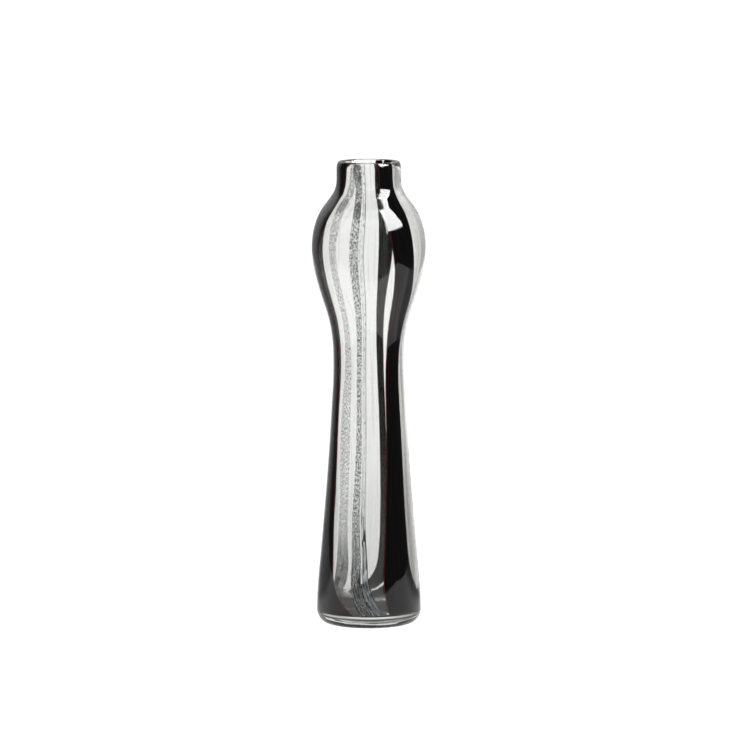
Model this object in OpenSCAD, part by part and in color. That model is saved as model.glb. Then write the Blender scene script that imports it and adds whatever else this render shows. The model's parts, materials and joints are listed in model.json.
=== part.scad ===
// Hand-blown art glass vase: a clear gather with a ring of coloured canes picked up on it,
// cased in clear glass, closed by a fire-polished lip and stood on a clear foot.
// +Z is up, the origin is the centre of the resting plane, and -Y is the front.

/* [Outline] */
// Height over the lip
height = 300; // [290:1:310]
// Diameter of the foot at its widest
foot_d = 68; // [66:0.5:72]
// Diameter of the waist
waist_d = 46.2; // [45:0.2:50]
// Diameter of the bulb
bulb_d = 74.2; // [72:0.2:78]
// Diameter of the neck
neck_d = 41.8; // [41:0.2:44]
// Bore of the neck
bore_d = 33.6; // [30:0.2:34]

/* [Glass thickness] */
// Clear casing over the canes
casing_t = 0.9; // [0.7:0.1:1.1]
// Canes after they are marvered flat
cane_t = 0.8; // [0.6:0.1:1]
// Whole wall at the bulb
bulb_wall = 3.1; // [3:0.1:4]
// Whole wall at the waist
waist_wall = 2.8; // [2.7:0.1:4]
// Whole wall low on the body, just above the solid base
base_wall = 4.4; // [4:0.1:6]
// Height of the inside floor
floor_z = 13; // [12:0.5:20]

/* [Foot and lip] */
// Height of the clear foot
foot_h = 8; // [7:0.1:9]
// Width of the foot's rounded edge
foot_round = 5.1; // [4:0.1:7]
// Width of the ground resting ring
rest_w = 2; // [1:0.5:3]
// Depth of the ground hollow under the foot
dish_h = 1.5; // [1:0.1:2.5]
// Height of the clear bead over the ends of the canes
bead_h = 1; // [0.8:0.1:3]
// Height over which the lip is melted round
lip_round = 4.5; // [4:0.1:6]

/* [Twist] */
// Turn of the canes between the body and the base
foot_twist = 27; // [0:1:40]
// Further turn under the inside floor
floor_twist = 30; // [0:1:60]

/* [Hidden] */
$fn = 96;

// Key heights of the outline
widest_z = 12;
waist_z = 171;
bulb_z = 244;
neck_z = 284;
cane_top = height - bead_h;
lip_z = height - lip_round;
// Top of the evenly spaced rings, and the height at which the canes start to twist into the base
ring_top = 294;
base_z = 36;
// Slight tuck-in under the widest part of the foot, and slight swell where the neck meets the collar
foot_tuck = 0.1;
neck_swell = 0.1;
collar_start = neck_z + 4;
// Height of the curved side of the bowl-shaped inside floor
bowl_h = 8;
// Shape of the foot's rounded edge: 1 is an ellipse, more is flatter
edge_power = 1.18;
// Steps of the drawn arcs, in degrees, and of the lip's arc
arc_step = 10;
lip_steps = 16;

// Points between two key points, each as a share of the way up and of the change in radius
function between(low, high, shares) =
    [for (s = shares) [low[0] + s[0] * (high[0] - low[0]), low[1] + s[1] * (high[1] - low[1])]];

foot_pt = [widest_z, foot_d / 2];
waist_pt = [waist_z, waist_d / 2];
bulb_pt = [bulb_z, bulb_d / 2];
neck_pt = [neck_z, neck_d / 2 + neck_swell];

// Outer outline as [height, radius]: slow taper, waist, bulb, flared shoulder, collar
outline = concat(
    [[0, foot_d / 2 - foot_tuck], foot_pt],
    between(foot_pt, waist_pt, [[0.08, 0.065], [0.25, 0.285], [0.5, 0.595], [0.77, 0.86]]),
    [waist_pt],
    between(waist_pt, bulb_pt, [[0.18, 0.04], [0.37, 0.205], [0.58, 0.555], [0.79, 0.86]]),
    [bulb_pt],
    between(bulb_pt, neck_pt, [[0.3, 0.085], [0.58, 0.335], [0.79, 0.71], [0.9, 0.905]]),
    [neck_pt, [collar_start, neck_d / 2], [height, neck_d / 2]]
);

// Whole wall thickness as [height, thickness]
neck_wall = (neck_d - bore_d) / 2;
wall = [
    [floor_z, base_wall + 0.4], [45, base_wall], [75, 3.9], [118, waist_wall - 0.2],
    [waist_z, waist_wall], [bulb_z, bulb_wall], [neck_z, neck_wall + neck_swell], [height, neck_wall]
];

// Seams between neighbouring canes: degrees from the front towards the right,
// at each of the seam heights, from the lip down; at the foot the clear canes close up
seam_z = [cane_top, 270, bulb_z, 209, waist_z, 118, 65, base_z, 22, foot_h];
seam_deg = [
    [-31, -20, -21, -19, -21, -20, -23, -22, -26, -35],           // front left clear | front grey
    [-13, -9, -11, -9, -11, -10, -11, -9, -12, -17],              // front grey | front pale
    [-7, -3, -5, -3, -4, -3, -4, -1, -2, -5],                     // front pale | front clear
    [17, 20, 25, 35, 29, 27, 21, 17, 13, -2],                     // front clear | front black
    [49, 50, 52, 63, 58, 58, 56, 58, 66, 76],                     // front black | right clear
    [123, 128, 130, 132, 131, 130, 130, 130, 122, 98],            // right clear | back right black
    [149, 150, 151, 144, 146, 148, 148, 148, 148, 146],           // back right black | back right clear
    [150.5, 154, 152.5, 155.5, 151.5, 150, 152.5, 153, 152, 150], // back right clear | back black
    [167, 168, 169, 169, 165.5, 162.5, 163.5, 168, 172, 186],     // back black | back clear
    [201, 212, 219, 218, 214, 211.5, 211.5, 208, 204, 192],       // back clear | back grey
    [225, 230, 232, 231, 231, 236, 231, 230, 229, 222],           // back grey | back left clear
    [240, 243, 245, 247, 246, 245, 246, 246, 242, 227],           // back left clear | left black
    [316, 309, 298, 302, 302, 305, 309, 313, 314, 317]            // left black | front left clear
];

// Rings down the wall and the widest column that the canes are drawn with
ring_count = 30;
column_deg = 7.5;
// Half the angle that a flat facet spans, with its diagonal
facet_deg = 5.25;
// Corner where the canes turn in under the floor, rings across the floor, and the clear eye where they end
corner_round = 3.5;
corner_deg = [30, 60, 90];
floor_share = [0.66, 0.33];
eye_r = 2;
twist_power = 2.4;

// Smooth curve through a table of [place, value]
function step_of(t, i) = (t[i + 1][1] - t[i][1]) / (t[i + 1][0] - t[i][0]);
function slope(t, i) =
    i == 0 ? step_of(t, 0)
    : i == len(t) - 1 ? step_of(t, i - 1)
    : let (before = t[i][0] - t[i - 1][0], after = t[i + 1][0] - t[i][0])
        (after * step_of(t, i - 1) + before * step_of(t, i)) / (before + after);
function span_of(t, x, i = 0) = i >= len(t) - 2 || x < t[i + 1][0] ? i : span_of(t, x, i + 1);
function smooth(t, x) =
    let (
        i = span_of(t, x),
        w = t[i + 1][0] - t[i][0],
        u = min(max((x - t[i][0]) / w, 0), 1),
        v = 1 - u
    )
    v * v * (1 + 2 * u) * t[i][1] + u * u * (3 - 2 * u) * t[i + 1][1]
    + u * v * w * (v * slope(t, i) - u * slope(t, i + 1));

// Radii of the skin, the cavity and the two faces of the cane layer; the neck and collar have a straight bore
lip_mid = (neck_d + bore_d) / 4;
lip_half = (neck_d - bore_d) / 4;
function lip_share(z) = sqrt(max(1 - pow((z - lip_z) / lip_round, 2), 0));
function skin_r(z) = z > lip_z ? lip_mid + lip_half * lip_share(z) : smooth(outline, z);
function cavity_r(z) =
    z > lip_z ? lip_mid - lip_half * lip_share(z)
    : z >= neck_z ? bore_d / 2
    : skin_r(z) - smooth(wall, z);
function cane_out(z) = skin_r(z) - casing_t;
function cane_in(z) = cane_out(z) - cane_t;

// Heights of the rings on the wall, from the lip down, and the same list twice as fine
corner_z = foot_h + corner_round;
wall_z = concat(
    [cane_top, lip_z],
    [for (i = [0:ring_count - 1]) ring_top + (corner_z - ring_top) * i / (ring_count - 1)]
);
fine_z = [for (i = [0:len(wall_z) - 2]) each [wall_z[i], (wall_z[i] + wall_z[i + 1]) / 2]];

// A face of the cane layer as [radius, height]: down the wall, round the corner, over the floor
corner_r = cane_out(corner_z) - corner_round;
function face_path(on_wall, round_r, flat_z) = concat(
    on_wall,
    [for (a = corner_deg) [corner_r + round_r * cos(a), corner_z - round_r * sin(a)]],
    [for (s = floor_share) [eye_r + s * (corner_r - eye_r), flat_z]],
    [[eye_r, flat_z]]
);
out_path = face_path([for (z = wall_z) [cane_out(z), z]], corner_round, foot_h);
in_path = face_path([for (z = wall_z) [cane_in(z), z]], corner_round - cane_t, foot_h + cane_t);

// Place of a seam, in degrees, at each ring; seam 13 is seam 0 again, one turn on
function twist(p) =
    foot_twist * pow(max(base_z - p[1], 0) / (base_z - foot_h), twist_power)
    + (p[1] < corner_z ? floor_twist * (1 - min(p[0] / corner_r, 1)) : 0);
function seam(k) =
    let (
        turn = k < len(seam_deg) ? 0 : 360,
        row = seam_deg[k % len(seam_deg)],
        table = [for (i = [len(seam_z) - 1:-1:0]) [seam_z[i], row[i] + turn]]
    )
    [for (p = out_path) smooth(table, p[1]) + twist(p)];

// One cane: the part of the layer between seam k and the next
module cane(k) {
    left = seam(k);
    right = seam(k + 1);
    rings = len(out_path);
    columns = ceil(max(right - left) / column_deg);
    // The inner face is lifted by a hair, so that its flat facets clear the round gather
    lift = 1 / cos(facet_deg);
    function face(path, grow) = [
        for (i = [0:rings - 1]) for (j = [0:columns])
            let (a = left[i] + (right[i] - left[i]) * j / columns, r = path[i][0] * grow)
            [r * sin(a), -r * cos(a), path[i][1]]
    ];
    row = columns + 1;
    in0 = rings * row;
    last = in0 - row;
    polyhedron(
        points = concat(face(out_path, 1), face(in_path, lift)),
        faces = concat(
            // outer and inner face
            [for (i = [0:rings - 2]) for (j = [0:columns - 1]) let (a = i * row + j, d = a + row)
                each [[a, a + 1, d + 1], [a, d + 1, d],
                    [in0 + a, in0 + d + 1, in0 + a + 1], [in0 + a, in0 + d, in0 + d + 1]]],
            // left and right side
            [for (i = [0:rings - 2]) let (a = i * row, d = a + row, b = a + columns, c = d + columns)
                each [[in0 + a, a, d], [in0 + a, d, in0 + d],
                    [b, in0 + b, c], [in0 + b, in0 + c, c]]],
            // top end at the lip and bottom end at the eye
            [for (j = [0:columns - 1]) let (d = last + j)
                each [[in0 + j, in0 + j + 1, j + 1], [in0 + j, j + 1, j],
                    [in0 + d, d + 1, in0 + d + 1], [in0 + d, d, d + 1]]]
        )
    );
}

// Clear gather: the vessel itself, from the cavity out to the canes, with its thick bowl-shaped floor
module inner_gather() {
    bowl_z = floor_z + bowl_h;
    bowl_r = cavity_r(bowl_z);
    color("gainsboro", 0.35)
        rotate_extrude()
            polygon(concat(
                [[0, foot_h], [eye_r, foot_h]],
                [for (i = [len(in_path) - 1:-1:0]) in_path[i]],
                [for (z = fine_z) if (z > lip_z) [cavity_r(z), z]],
                [[bore_d / 2, lip_z], [bore_d / 2, neck_z]],
                [for (z = fine_z) if (z < neck_z && z > bowl_z) [cavity_r(z), z]],
                [for (a = [0:arc_step:90]) [bowl_r * cos(a), bowl_z - bowl_h * sin(a)]]
            ));
}

// Clear casing over the canes, open below where it meets the foot
module outer_casing() {
    casing_end = len(wall_z) + len(corner_deg) - 1;
    color("whitesmoke", 0.3)
        rotate_extrude()
            polygon(concat(
                [for (i = [0:casing_end]) out_path[i]],
                [[skin_r(foot_h), foot_h]],
                [for (i = [len(fine_z) - 1:-1:0]) [skin_r(fine_z[i]), fine_z[i]]]
            ));
}

// Clear foot: a solid pad with a round edge, a ground resting ring and a shallow ground hollow
module clear_foot() {
    rest_r = skin_r(foot_h) - foot_round;
    hollow_r = rest_r - rest_w;
    color("lightgrey", 0.4)
        rotate_extrude()
            polygon(concat(
                [for (s = [0:0.125:1]) [hollow_r * s, dish_h * (1 - s * s)]],
                [for (a = [0:arc_step:90])
                    [rest_r + foot_round * pow(sin(a), edge_power), foot_h * (1 - pow(cos(a), edge_power))]],
                [[0, foot_h]]
            ));
}

// Fire-polished lip: a clear round bead over the ends of the canes
module lip_bead() {
    rise = asin((cane_top - lip_z) / lip_round);
    color("white", 0.5)
        rotate_extrude()
            polygon([for (i = [0:lip_steps]) let (a = rise + (180 - 2 * rise) * i / lip_steps)
                [lip_mid + lip_half * cos(a), lip_z + lip_round * sin(a)]]);
}

// Canes, from the front to the right, round the back and home; the clear ones space the others
module grey_cane_front() { color("dimgray") cane(0); }
module pale_cane_front() { color("darkgray") cane(1); }
module clear_cane_front() { color("aliceblue", 0.3) cane(2); }
module black_cane_front() { color("black") cane(3); }
module clear_cane_right() { color("aliceblue", 0.3) cane(4); }
module black_cane_back_right() { color("black") cane(5); }
module clear_cane_back_right() { color("aliceblue", 0.3) cane(6); }
module black_cane_back() { color("black") cane(7); }
module clear_cane_back() { color("aliceblue", 0.3) cane(8); }
module grey_cane_back() { color("gray") cane(9); }
module clear_cane_back_left() { color("aliceblue", 0.3) cane(10); }
module black_cane_left() { color("black") cane(11); }
module clear_cane_front_left() { color("aliceblue", 0.3) cane(12); }

inner_gather();
outer_casing();
clear_foot();
lip_bead();
grey_cane_front();
pale_cane_front();
clear_cane_front();
black_cane_front();
clear_cane_right();
black_cane_back_right();
clear_cane_back_right();
black_cane_back();
clear_cane_back();
grey_cane_back();
clear_cane_back_left();
black_cane_left();
clear_cane_front_left();
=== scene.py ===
# %% [markdown]
# # A hand-blown art glass vase
#
# The real vase is made hot. A clear bubble, the gather, is rolled over a row of coloured glass
# canes, which stick to it side by side. Clear glass is laid over them as a casing, the whole is
# blown and pulled into a bulb, a waist and a long foot, and the lip is melted round in the fire.
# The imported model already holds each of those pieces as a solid, so this script starts from it.

# %% Load the model
import json
import math

import bpy
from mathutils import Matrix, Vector


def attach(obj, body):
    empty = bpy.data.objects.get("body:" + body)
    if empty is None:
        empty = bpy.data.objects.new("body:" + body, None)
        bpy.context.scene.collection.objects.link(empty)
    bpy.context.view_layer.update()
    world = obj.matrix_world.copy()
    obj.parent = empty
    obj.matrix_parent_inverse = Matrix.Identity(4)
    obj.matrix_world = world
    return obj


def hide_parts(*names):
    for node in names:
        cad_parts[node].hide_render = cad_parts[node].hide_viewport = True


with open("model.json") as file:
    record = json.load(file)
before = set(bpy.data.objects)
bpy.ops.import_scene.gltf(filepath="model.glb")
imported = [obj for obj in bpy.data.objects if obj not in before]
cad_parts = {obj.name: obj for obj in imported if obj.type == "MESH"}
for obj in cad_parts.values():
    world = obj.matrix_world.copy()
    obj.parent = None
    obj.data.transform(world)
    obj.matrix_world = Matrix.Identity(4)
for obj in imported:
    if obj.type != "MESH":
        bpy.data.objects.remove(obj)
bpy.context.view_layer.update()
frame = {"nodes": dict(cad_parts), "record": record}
nodes = frame["nodes"]
slots = {row["node"]: row["material_slot"] for row in frame["record"]["subparts"]}
MM = 0.001
DEGREE = math.pi / 180

# %% [markdown]
# ## The room
#
# Clear glass shows only what is around it, so the room comes first. The vase stands on a pale
# floor that is lit evenly from below and behind, as glassware is often shown: white shines
# through the clear glass, and the black canes stand out against it.
#
# The camera has a long lens and stands well back, a little above the middle of the vase, so that
# the sides stay straight and the mouth just shows.

# %% Camera
LONG_LENS = 194.3
camera_data = bpy.data.cameras.new("camera")
camera_data.lens = LONG_LENS
camera = bpy.data.objects.new("camera", camera_data)
bpy.context.scene.collection.objects.link(camera)
camera.location = (0.0, -2.6, 0.495)
aim = Vector((0.004, 0.0, 0.1612))
camera.rotation_euler = (aim - camera.location).to_track_quat("-Z", "Y").to_euler()
bpy.context.scene.camera = camera
print("camera", round((aim - camera.location).length, 2), "m from the vase")

# %% [markdown]
# Shader maths is easier to read as expressions. A Wire is one output of a node, and adding or
# multiplying wires adds the Math node for it. A Recipe is the node tree of one finish.


# %% Shader helpers
class Wire:
    """One output of a node, which can be used in arithmetic."""

    def __init__(self, recipe, socket):
        self.recipe = recipe
        self.socket = socket

    def maths(self, operation, *values):
        """A Math node that works on any wires and numbers."""
        return self.recipe.node("Math", {"operation": operation}, dict(enumerate(values)))

    def __add__(self, other):
        return self.maths("ADD", self, other)

    def __sub__(self, other):
        return self.maths("SUBTRACT", self, other)

    def __rsub__(self, other):
        return self.maths("SUBTRACT", other, self)

    def __mul__(self, other):
        return self.maths("MULTIPLY", self, other)

    def least(self, other):
        return self.maths("MINIMUM", self, other)

    def most(self, other):
        return self.maths("MAXIMUM", self, other)

    def ramp(self, low, high, start=0.0, end=1.0):
        """start where the wire is at low, end where it is at high, and a smooth step between."""
        settings = {"interpolation_type": "SMOOTHSTEP"}
        ends = {"Value": self, "From Min": low, "From Max": high, "To Min": start, "To Max": end}
        return self.recipe.node("MapRange", settings, ends)

    def parts(self):
        """The three parts of a vector."""
        split = self.recipe.node("SeparateXYZ", None, {0: self}).socket.node
        return [Wire(self.recipe, output) for output in split.outputs]


class Recipe:
    """The node tree of one finish."""

    def __init__(self, owner):
        owner.use_nodes = True
        self.tree = owner.node_tree
        self.tree.nodes.clear()

    def node(self, kind, settings=None, inputs=None, output=0):
        """Adds a node, sets it up, wires it, and gives one of its outputs."""
        made = self.tree.nodes.new("ShaderNode" + kind)
        for key, value in (settings or {}).items():
            setattr(made, key, value)
        for key, value in (inputs or {}).items():
            if isinstance(value, Wire):
                self.tree.links.new(value.socket, made.inputs[key])
            else:
                made.inputs[key].default_value = value
        return Wire(self, made.outputs[output]) if made.outputs else None

    def blend(self, factor, first, second):
        """A mix of two colours."""
        return self.node("Mix", {"data_type": "RGBA"}, {0: factor, 6: first, 7: second}, output=2)

    def noise(self, place, scale, stretch=(1, 1, 1), detail=2.0):
        """Noise with this many steps in a metre, drawn out along the axes whose stretch is small."""
        sizes = [scale * share for share in stretch]
        mapped = self.node("Mapping", None, {"Vector": place, "Scale": sizes})
        return self.node("TexNoise", None, {"Vector": mapped, "Scale": 1.0, "Detail": detail})

    def finish(self, kind, shader):
        """Ends the tree in its output node."""
        self.node("Output" + kind, None, {"Surface": shader})


# %% [markdown]
# The room light is in the world. What shines through the glass is white from behind and in front,
# and greyer from the sides, so that the rims of the clear glass show. What the glass mirrors is a
# studio: dark, with a pale wall behind the vase and one tall soft window in front on the right.
# A ray that has been mirrored knows it, by its glossy depth. Only the front wall mirrors the
# window, so a ray that has gone further into the vase doesn't see it.
#
# Angles here are in degrees. The wall reaches to one on each side of straight behind. The window
# lies between two from the front towards the right, and between two above the horizon.

# %% Room light
WALL_EDGE = 56
WALL_BLUR = 10
WALL_LOW = 0.38
WALL_HIGH = 0.95
WINDOW_SIDES = (42, 82)
WINDOW_HEIGHTS = (22, 61)
WINDOW_LIGHT = 21.0
STUDIO_DARK = 0.07
SIDE_GREY = 0.45
BACK_WHITE = 1.02
SOFT_EDGE = 1.5
world = bpy.data.worlds.new("studio")
bpy.context.scene.world = world
room = Recipe(world)
east, north, up = room.node("TexCoord", output="Generated").parts()
behind = east.maths("ABSOLUTE", east.maths("ARCTAN2", east, north))
sideways = east.maths("ARCTAN2", east, 0 - north)
rise = east.maths("ARCSINE", up)


def between(wire, ends):
    """1 between two angles in degrees, with soft edges, and 0 outside them."""
    low, high = ends
    climb = wire.ramp((low - SOFT_EDGE) * DEGREE, (low + SOFT_EDGE) * DEGREE)
    drop = wire.ramp((high - SOFT_EDGE) * DEGREE, (high + SOFT_EDGE) * DEGREE, 1.0, 0.0)
    return climb * drop


reach = behind.ramp((WALL_EDGE - WALL_BLUR) * DEGREE, (WALL_EDGE + WALL_BLUR) * DEGREE, 1.0, 0.0)
wall = reach * rise.ramp(-5 * DEGREE, 30 * DEGREE, WALL_LOW, WALL_HIGH)
window = between(sideways, WINDOW_SIDES) * between(rise, WINDOW_HEIGHTS)
mirrored = room.node("LightPath", output="Glossy Depth").ramp(0.2, 0.8)
shallow = room.node("LightPath", output="Transmission Depth").ramp(2.2, 2.8, 1.0, 0.0)
studio = wall.most(window * shallow * WINDOW_LIGHT) + STUDIO_DARK
seen = room.node("LightPath", output="Is Camera Ray")
shining = north.maths("ABSOLUTE", north).ramp(0.3, 0.97, SIDE_GREY, BACK_WHITE)
shining = shining.most(seen * BACK_WHITE)
light = studio * mirrored + shining * (1 - mirrored)
room.finish("World", room.node("Background", None, {"Color": (1, 1, 1, 1), "Strength": light}))
print("room of", len(room.tree.nodes), "nodes")

# %% [markdown]
# The floor is a sheet of white acrylic, lit from below so evenly that the vase throws no shadow
# on it. It shines fully where it is looked at and behind the vase. As the glass sees it, it is
# dimmer in front, and to the sides behind. It ends a little way in front, and what the glass
# mirrors beyond is dark.

# %% Floor
FLOOR_FRONT = -0.38
FLOOR_BACK = 6.0
FLOOR_WIDTH = 1.4
FLOOR_WHITE = 1.017
FRONT_DIM = 0.74
SIDE_DIM = 0.8
# A mix of colours stops at 1, so the lit share is kept under it and the strength makes up for it
HEADROOM = 0.9
bpy.ops.mesh.primitive_plane_add(size=1.0)
floor = bpy.context.object
floor.name = "floor"
bpy.ops.transform.resize(value=(FLOOR_WIDTH, FLOOR_BACK - FLOOR_FRONT, 1))
bpy.ops.transform.translate(value=(0, (FLOOR_BACK + FLOOR_FRONT) / 2, 0))
bpy.ops.object.transform_apply(location=True, rotation=False, scale=True)
acrylic = bpy.data.materials.new("white_acrylic")
sheet = Recipe(acrylic)
place = sheet.node("TexCoord", output="Object")
across, depth, _ = place.parts()
seen = sheet.node("LightPath", output="Is Camera Ray")
aside = across.maths("ABSOLUTE", across)
spread = aside.maths("DIVIDE", aside, depth.most(0.0) + 0.1)
dim = spread.ramp(0.12, 0.6, 0.0, SIDE_DIM) * depth.ramp(0.3, 1.5, 1.0, 0.4) * depth.ramp(0.0, 0.1)
lit = depth.ramp(-0.05, 0.1, FRONT_DIM, 1.01) * (1 - dim)
sheet.finish("Material", sheet.node("BsdfPrincipled", None, {
    "Base Color": (0.1, 0.1, 0.1, 1),
    "Roughness": sheet.noise(place, 40).ramp(0, 1, 0.8, 0.9),
    "Specular IOR Level": 0.0,
    "Emission Color": sheet.blend(seen.most(lit) * HEADROOM, (0, 0, 0, 1), (1, 1, 1, 1)),
    "Emission Strength": FLOOR_WHITE / HEADROOM,
}))
floor.data.materials.append(acrylic)
print("floor", [round(side, 2) for side in floor.dimensions], "m")

# %% [markdown]
# One large soft lamp overhead evens the light on the coloured glass.

# %% Lamp
lamp_data = bpy.data.lights.new("soft_lamp", "AREA")
lamp_data.size = 1.2
lamp_data.energy = 6.0
lamp = bpy.data.objects.new("soft_lamp", lamp_data)
lamp.location = (0.3, -0.4, 1.6)
lamp.rotation_euler = (Vector((0, 0, 0.15)) - lamp.location).to_track_quat("-Z", "Y").to_euler()
lamp.visible_glossy = False
lamp.visible_transmission = False
bpy.context.scene.collection.objects.link(lamp)
print("lamp", lamp_data.energy, "W")

# %% [markdown]
# A ray through this vase crosses many skins of glass, so it is allowed many turns.

# %% Light paths
scene = bpy.context.scene
scene.view_settings.view_transform = "Standard"
scene.cycles.max_bounces = 24
scene.cycles.transmission_bounces = 24
scene.cycles.glossy_bounces = 12
scene.cycles.diffuse_bounces = 3
scene.cycles.transparent_max_bounces = 64
print("view", scene.view_settings.view_transform)

# %% [markdown]
# ## Finishes of the clear glass
#
# Where glass meets air it bends and mirrors light. Where one piece of glass is fused to the next
# nothing can be seen, because light goes straight on. So each clear piece has two finishes: a
# clear skin on its free faces, and a fused joint, fully transparent, where it meets its
# neighbours. Hand work and the fire leave a faint long wave in the skin, which is a weak bump.
# The real foot bends the canes above it into a dark line and grey streaks. Here they are a tint
# that changes with height, because the ends of the canes stop under the floor.


# %% Clear skin and fused joint
LINE_LOW = 5.5 * MM
LINE_TOP = 6.7 * MM
ROUND_THE_FOOT = (0.3, 0.3, 4.0)


def streaked(recipe, here):
    """The foot's tint: clear under the seam, then a dark line and grey streaks drawn round it."""
    _, _, z = here.parts()
    streaks = recipe.noise(here, 110, ROUND_THE_FOOT, 3.0).ramp(0.38, 0.62)
    grey = recipe.blend(streaks, (0.10, 0.10, 0.10, 1), (0.66, 0.66, 0.63, 1))
    above = z.ramp(LINE_LOW - 0.3 * MM, LINE_LOW + 0.3 * MM)
    clear = z.ramp(LINE_TOP - 0.2 * MM, LINE_TOP + 0.2 * MM)
    lined = recipe.blend(above, grey, (0.02, 0.02, 0.02, 1))
    return recipe.blend(clear, lined, (0.93, 0.93, 0.91, 1))


def clear_skin(name, tint, wave, waves_per_metre, stretch=(1, 1, 0.45)):
    """Clear glass with faint waves. Its tint is a colour, or a function that draws one."""
    glass = bpy.data.materials.new(name)
    recipe = Recipe(glass)
    here = recipe.node("TexCoord", output="Object")
    ripple = recipe.noise(here, waves_per_metre, stretch, 1.5)
    bump = recipe.node("Bump", None, {"Height": ripple, "Strength": 1.0, "Distance": wave})
    recipe.finish("Material", recipe.node("BsdfPrincipled", None, {
        "Base Color": tint(recipe, here) if callable(tint) else tint,
        "Roughness": 0.0,
        "IOR": 1.5,
        "Transmission Weight": 1.0,
        "Normal": bump,
    }))
    return glass


WAVE = 0.08 * MM
casing_skin = clear_skin("clear_casing", (0.985, 0.988, 0.978, 1), WAVE, 55)
cavity_skin = clear_skin("clear_gather", (0.985, 0.988, 0.975, 1), WAVE, 45)
foot_skin = clear_skin("clear_foot", streaked, 0.3 * MM, 60, (0.35, 0.35, 4.0))
lip_skin = clear_skin("clear_lip", (0.985, 0.988, 0.978, 1), WAVE, 60)
fused = bpy.data.materials.new("fused_joint")
joint = Recipe(fused)
joint.finish("Material", joint.node("BsdfPrincipled", None, {
    "Base Color": (1, 1, 1, 1),
    "Specular IOR Level": 0.0,
    "Alpha": 0.0,
}))
print("skins", [skin.name for skin in (casing_skin, cavity_skin, foot_skin, lip_skin)])

# %% [markdown]
# ## The clear pieces
#
# Each clear piece is turned round the vase's axis. On a lathe one would draw half of its section
# and spin it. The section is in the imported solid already: a copy of it is cut by a plane through
# the axis, the half outline is kept, and that is spun again with even steps and smoothed. So the
# piece has the model's exact size, and a skin smooth enough for glass.


# %% Turning helpers
SPIN_STEPS = 48
# A ring has this many vertices or more, and a point this near to it in height and radius is on it
RING_VERTICES = 12
RING_DZ = 0.02 * MM
RING_DR = 0.15 * MM
# The cut is turned a little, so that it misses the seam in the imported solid's own mesh
CUT_TURN = 1.3 * DEGREE
ACROSS = Vector((math.cos(CUT_TURN), math.sin(CUT_TURN), 0))
SECTION = Vector((-ACROSS.y, ACROSS.x, 0))


def only(piece):
    """Selects one object and nothing else, and makes it active."""
    bpy.ops.object.select_all(action="DESELECT")
    piece.select_set(True)
    bpy.context.view_layer.objects.active = piece


def copy_of(node, name):
    """A copy of a CAD node with its own mesh, its loose triangles merged."""
    piece = bpy.data.objects.new(name, nodes[node].data.copy())
    piece.data.name = name
    bpy.context.scene.collection.objects.link(piece)
    piece.data.materials.clear()
    only(piece)
    bpy.ops.object.mode_set(mode="EDIT")
    bpy.ops.mesh.select_mode(type="VERT")
    bpy.ops.mesh.select_all(action="SELECT")
    bpy.ops.mesh.remove_doubles(threshold=0.002 * MM)
    bpy.ops.object.mode_set(mode="OBJECT")
    return piece


def pick(piece, kind, test):
    """Selects in edit mode the vertices, edges or faces that pass a test."""
    bpy.ops.object.mode_set(mode="EDIT")
    bpy.ops.mesh.select_mode(type=kind)
    bpy.ops.mesh.select_all(action="DESELECT")
    bpy.ops.object.mode_set(mode="OBJECT")
    items = {"VERT": piece.data.vertices, "EDGE": piece.data.edges, "FACE": piece.data.polygons}
    for item in items[kind]:
        item.select = test(item)
    bpy.ops.object.mode_set(mode="EDIT")


def smooth_by(piece, levels):
    """Adds a Subdivision Surface and applies it."""
    subdivide = piece.modifiers.new("smooth", "SUBSURF")
    subdivide.levels = subdivide.render_levels = levels
    only(piece)
    bpy.ops.object.modifier_apply(modifier=subdivide.name)
    bpy.ops.object.shade_smooth()


def rings_of(piece):
    """Radius and height of each ring of vertices in a turned solid."""
    found = {}
    for vertex in piece.data.vertices:
        radius, height = vertex.co.xy.length, vertex.co.z
        found.setdefault((round(radius / MM, 1), round(height / MM, 2)), []).append(radius)
    small = [key for key, row in found.items() if len(row) < RING_VERTICES and key[0] > 0.05]
    return [(sum(found[key]) / len(found[key]), key[1] * MM) for key in found if key not in small]


def ring_near(point, rings):
    """The ring a point lies on, if it lies on one or on the axis."""
    if point.xy.length < RING_DZ:
        return 0.0, point.z
    for radius, height in rings:
        if abs(point.z - height) < RING_DZ and abs(point.xy.length - radius) < RING_DR:
            return radius, height
    return None


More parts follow.
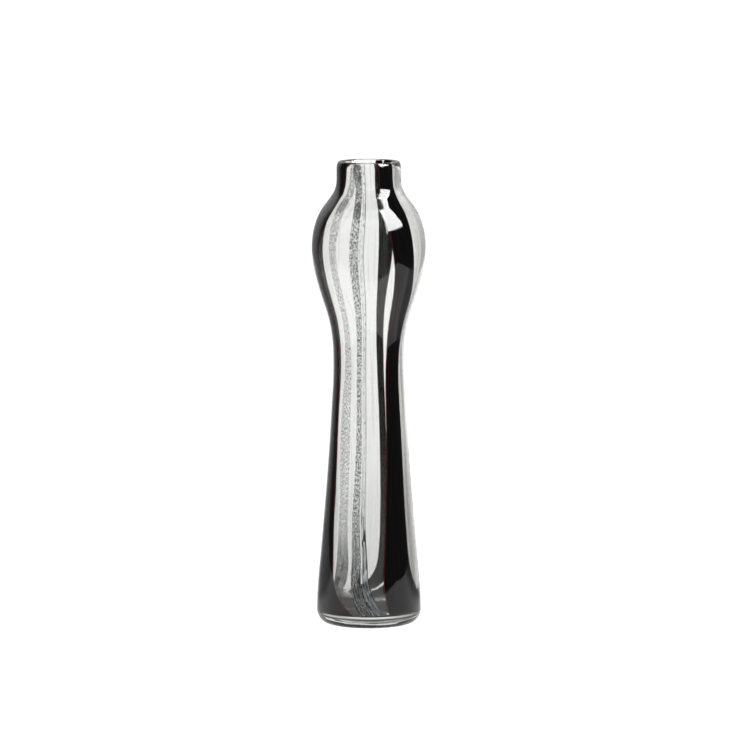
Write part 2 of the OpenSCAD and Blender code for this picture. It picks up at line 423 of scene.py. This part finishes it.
def turned(node, name):
    """A smooth lathe-turned copy of a CAD node."""
    piece = copy_of(node, name)
    rings = rings_of(piece)
    bpy.ops.object.mode_set(mode="EDIT")
    bpy.ops.mesh.select_all(action="SELECT")
    bpy.ops.mesh.bisect(plane_co=(0, 0, 0), plane_no=SECTION)
    bpy.ops.mesh.select_all(action="INVERT")
    bpy.ops.mesh.delete(type="VERT")
    bpy.ops.mesh.select_all(action="SELECT")
    bpy.ops.mesh.bisect(plane_co=(0, 0, 0), plane_no=ACROSS, clear_inner=True)
    bpy.ops.mesh.select_all(action="SELECT")
    bpy.ops.mesh.remove_doubles(threshold=0.01 * MM)
    bpy.ops.object.mode_set(mode="OBJECT")

    pick(piece, "VERT", lambda vertex: ring_near(vertex.co, rings) is None)
    bpy.ops.mesh.dissolve_verts()
    bpy.ops.object.mode_set(mode="OBJECT")
    for vertex in piece.data.vertices:
        radius, height = ring_near(vertex.co, rings)
        vertex.co = ACROSS * radius + Vector((0, 0, height))
    bpy.ops.object.mode_set(mode="EDIT")
    bpy.ops.mesh.select_mode(type="VERT")
    bpy.ops.mesh.select_all(action="SELECT")
    bpy.ops.mesh.remove_doubles(threshold=0.03 * MM)
    bpy.ops.mesh.select_all(action="SELECT")
    bpy.ops.mesh.dissolve_limited(angle_limit=0.1 * DEGREE)
    piece.update_from_editmode()
    points = len(piece.data.vertices)
    bpy.ops.mesh.select_all(action="SELECT")
    bpy.ops.mesh.spin(steps=SPIN_STEPS, angle=2 * math.pi, center=(0, 0, 0), axis=(0, 0, 1))
    bpy.ops.mesh.select_all(action="SELECT")
    bpy.ops.mesh.remove_doubles(threshold=0.005 * MM)
    bpy.ops.mesh.normals_make_consistent(inside=False)
    bpy.ops.mesh.select_all(action="DESELECT")
    bpy.ops.mesh.select_mode(type="EDGE")
    bpy.ops.mesh.edges_select_sharp(sharpness=40 * DEGREE)
    bpy.ops.transform.edge_crease(value=1.0)
    bpy.ops.mesh.mark_sharp()
    bpy.ops.object.mode_set(mode="OBJECT")
    smooth_by(piece, 2)
    print(name, "turned from", points, "points")
    return piece


def glaze(piece, skin, is_fused):
    """Gives a clear piece its two finishes, by how far each face looks outwards and upwards."""
    piece.data.materials.append(skin)
    piece.data.materials.append(fused)
    for face in piece.data.polygons:
        out = Vector((face.center.x, face.center.y, 0)).normalized()
        face.material_index = int(is_fused(face.normal.dot(out), face.normal.z, face.center.z))


def stands_for(piece, node):
    """The piece rides on the vase's body and replaces its CAD node."""
    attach(piece, "root")
    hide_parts(node)
    print(piece.name, len(piece.data.polygons), "faces")


# %% [markdown]
# The casing is the last clear glass gathered over the canes, about a millimetre thick. It could
# be a thickened sheet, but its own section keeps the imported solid's thickness. Its outside is
# free, and its inside and its two ends are fused.

# %% Outer casing
casing = turned("outer_casing", "glass_casing")
glaze(casing, casing_skin, lambda out, rise, z: out < 0.05)
stands_for(casing, "outer_casing")

# %% [markdown]
# The gather is the vessel itself: wall, shoulder, straight neck and thick bowl-shaped floor. Its
# cavity is free and its outside is fused. Low down the wall leans inwards as it climbs, so there
# only faces that look clearly outwards are fused, and the bowl keeps its skin.

# %% Inner gather
FLOOR_TOP = 40 * MM
gather = turned("inner_gather", "glass_gather")
glaze(gather, cavity_skin, lambda out, rise, z: out > (0.1 if rise > 0 and z < FLOOR_TOP else -0.05))
stands_for(gather, "inner_gather")

# %% [markdown]
# The foot is a pad of clear glass pressed on below and ground flat, fused on its upper face. The
# lip is the rim melted round in the fire, fused underneath to the ends of the canes.

# %% Foot and lip
foot = turned("clear_foot", "glass_foot")
glaze(foot, foot_skin, lambda out, rise, z: rise > 0.9)
stands_for(foot, "clear_foot")
lip = turned("lip_bead", "glass_lip")
glaze(lip, lip_skin, lambda out, rise, z: rise < -0.9)
stands_for(lip, "lip_bead")

# %% [markdown]
# ## Finishes of the canes
#
# A cane is a rod of layered glass that was drawn out long and thin while it was soft, so every
# speck in it became a fine line along it. Its patterns follow two measures that each cane
# carries as UV maps: how far across and along it a point lies, and how far the point is from its
# two long edges. Both are in metres.


# %% Cane finishes
def cane_finish(name, paint):
    """A cane's finish: paint gives colour, roughness and alpha from the place on the cane."""
    glass = bpy.data.materials.new(name)
    recipe = Recipe(glass)
    place = recipe.node("UVMap", {"uv_map": "along"})
    left, right, _ = recipe.node("UVMap", {"uv_map": "edges"}).parts()
    colour, roughness, alpha = paint(recipe, place, left, right)
    recipe.finish("Material", recipe.node("BsdfPrincipled", None, {
        "Base Color": colour,
        "Roughness": roughness,
        "Specular IOR Level": 0.0,
        "Alpha": alpha,
    }))
    return glass


def black_paint(recipe, place, left, right):
    """Dense black glass with faint aubergine lines, dark red where it thins out at its edges."""
    lines = recipe.noise(place, 600, (1, 0.03, 1), 2.0).ramp(0.45, 0.7)
    wobble = recipe.noise(place, 90, (1, 1, 1), 3.0) * 0.5 * MM - 0.25 * MM
    edge = left.least(right) + wobble
    body = recipe.blend(lines, (0.004, 0.004, 0.005, 1), (0.010, 0.006, 0.008, 1))
    colour = recipe.blend(edge.ramp(0.35 * MM, 0.9 * MM), (0.16, 0.012, 0.02, 1), body)
    return colour, lines.ramp(0, 1, 0.25, 0.35), edge.ramp(0.0, 0.35 * MM)


def drawn_threads(recipe, place):
    """Black threads, light threads, and how near the foot a place is, where they show most."""
    _, along, _ = place.parts()
    foot = along.ramp(0.02, 0.1, 1.0, 0.0)
    threads = recipe.noise(place, 1100, (1, 0.07, 1), 1.0)
    return threads.ramp(0.52, 0.56), threads.ramp(0.40, 0.46, 1.0, 0.0), foot


def grey_paint(recipe, place, left, right, weight=1.0):
    """Smoky glass full of fine dark specks, drawn into long threads where it is squeezed."""
    _, along, _ = place.parts()
    neck = along.ramp(0.255, 0.295, 0.0, 0.8)
    black, light, foot = drawn_threads(recipe, place)
    grain = (recipe.noise(place, 1450, (1, 0.42, 1), 1.0) + neck * 0.05 + foot * 0.03).ramp(0.51, 0.55)
    fine = recipe.noise(place, 2400, (1, 0.4, 1), 0.0).ramp(0.54, 0.60)
    black = black * neck.most(foot)
    dark = (grain * 0.7).most(fine * 0.4).most(black)
    smoke_and_painted_shade = recipe.noise(place, 300, (1, 0.06, 1), 3.0)
    haze = smoke_and_painted_shade.ramp(0.3, 0.7, 0.10, 0.20) + foot * 0.3
    # Painted light: a weight under 1 makes the cane paler and more see-through away from the foot
    side = left.least(right).ramp(0.0, 0.6 * MM) * foot.most(weight)
    colour = recipe.blend(dark, (0.52, 0.54, 0.53, 1), (0.03, 0.03, 0.035, 1))
    return colour, 0.4, (dark * 0.9).most(haze).most(light * foot * 0.7) * side


def painted_paler_grey_paint(recipe, place, left, right):
    """The same glass with painted light: paler and more see-through than its neighbour at the front,
    except near the foot.
    """
    return grey_paint(recipe, place, left, right, 0.62)


def pale_paint(recipe, place, left, right):
    """Pale bluish grey glass with faint drawn lines and a darker line along its right edge."""
    _, along, _ = place.parts()
    black, light, foot = drawn_threads(recipe, place)
    smoke_and_painted_shade = recipe.noise(place, 400, (1, 0.04, 1), 3.0)
    fine = recipe.noise(place, 2600, (1, 0.12, 1), 0.0).ramp(0.62, 0.68)
    seam = right.ramp(0.3 * MM, 1.0 * MM, 1.0, 0.0) * (foot * 0.45 + 0.5)
    dark = (black * (foot * 2.0).least(1.0) * 0.9).most(seam).most(fine * 0.4)
    haze = smoke_and_painted_shade.ramp(0.3, 0.7, 0.10, 0.20) * along.ramp(0.18, 0.24, 1.0, 0.5) + foot * 0.2
    side = left.least(right).ramp(0.0, 0.4 * MM)
    colour = recipe.blend(dark, (0.50, 0.55, 0.57, 1), (0.06, 0.065, 0.07, 1))
    return colour, 0.4, haze.most(dark).most(light * foot * 0.6) * side


def clear_paint(recipe, place, left, right):
    """Clear glass with a few drawn lines, and painted shade: a little greyer and less clear low on the
    body, fading out upwards.
    """
    _, along, _ = place.parts()
    lines = recipe.noise(place, 500, (1, 0.02, 1), 2.0).ramp(0.5, 0.75)
    # Painted shade: the clear cane is made more opaque grey towards the bottom of the body
    smoke_and_painted_shade = along.ramp(0.03, 0.16, 0.11, 0.025)
    colour = recipe.blend(lines, (0.62, 0.64, 0.58, 1), (0.45, 0.47, 0.44, 1))
    return colour, 0.5, lines * 0.08 + smoke_and_painted_shade


paints = {
    "black_cane": cane_finish("black_glass", black_paint),
    "grey_cane": cane_finish("grey_flecked_glass", grey_paint),
    # The back grey cane is the front cane's glass, painted paler
    "grey_cane_back": cane_finish("grey_flecked_glass_painted_paler", painted_paler_grey_paint),
    "pale_cane": cane_finish("pale_grey_glass", pale_paint),
    "clear_cane": cane_finish("clear_cane_glass", clear_paint),
}
print("cane finishes", sorted(paints))

# %% [markdown]
# ## The canes
#
# A cane in the vase is a ribbon of its own, rolled flat into the wall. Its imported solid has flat
# facets, so the outer face is kept, given its two measures, inset along its border so that the
# border stays put, thickened inwards like the real cane, and smoothed. Its long edges come out
# softly rounded, as fire leaves them.

# %% Cane ribbons
CANE_THICK = 0.8 * MM
EDGE_INSET = 0.4 * MM
# Where the canes turn in under the floor: above their flat part, top of the turn, and its radius
UNDER_FLOOR = 8.9 * MM
CORNER_TOP = 12.2 * MM
CORNER_R = 29.6 * MM


def outward(face):
    """True on the face of a cane that the casing covers, and on its turn under the floor."""
    out = Vector((face.center.x, face.center.y, 0)).normalized()
    return face.normal.z < -0.5 or (face.normal.dot(out) > 0.3 and face.center.z > UNDER_FLOOR)


def length_along(point):
    """Height on the wall, and on from there towards the middle under the floor."""
    inward = min(math.hypot(point.x, point.y) - CORNER_R, 0)
    return point.z + inward if point.z < CORNER_TOP else point.z


def measure(piece):
    """Adds the two UV maps: across and along, and distance from the left and right edge."""
    rows = {}
    for vertex in piece.data.vertices:
        rows.setdefault(round(length_along(vertex.co), 4), []).append(vertex)
    across, edges = {}, {}
    for row in rows.values():
        middle = sum((Vector(v.co.xy).normalized() for v in row), Vector((0, 0)))
        angles = {v.index: middle.angle_signed(v.co.xy, 0) for v in row}
        low, high = max(angles.values()), min(angles.values())
        radius = sum(v.co.xy.length for v in row) / len(row)
        for index, angle in angles.items():
            across[index] = (low - angle) * radius
            edges[index] = (across[index], (angle - high) * radius)
    along = piece.data.uv_layers.new(name="along")
    sides = piece.data.uv_layers.new(name="edges")
    for loop in piece.data.loops:
        index = loop.vertex_index
        along.data[loop.index].uv = (across[index], length_along(piece.data.vertices[index].co))
        sides.data[loop.index].uv = edges[index]
    return len(rows)


def cane(node):
    """A smooth ribbon of glass in place of a CAD cane."""
    piece = copy_of(node, "ribbon_" + node)
    pick(piece, "FACE", lambda face: not outward(face))
    bpy.ops.mesh.delete(type="FACE")
    bpy.ops.mesh.select_all(action="SELECT")
    bpy.ops.mesh.tris_convert_to_quads(face_threshold=math.pi, shape_threshold=math.pi)
    bpy.ops.object.mode_set(mode="OBJECT")
    rows = measure(piece)
    bpy.ops.object.mode_set(mode="EDIT")
    bpy.ops.mesh.select_all(action="SELECT")
    bpy.ops.mesh.inset(thickness=EDGE_INSET, use_boundary=True)
    bpy.ops.object.mode_set(mode="OBJECT")
    thicken = piece.modifiers.new("thicken", "SOLIDIFY")
    thicken.thickness = CANE_THICK
    thicken.offset = -1
    bpy.ops.object.modifier_apply(modifier=thicken.name)
    smooth_by(piece, 2)
    piece.data.materials.append(paints.get(node, paints[slots[node]]))
    print(node, "has", rows, "rows")
    stands_for(piece, node)


for node in nodes:
    if "cane" in slots[node]:
        cane(node)
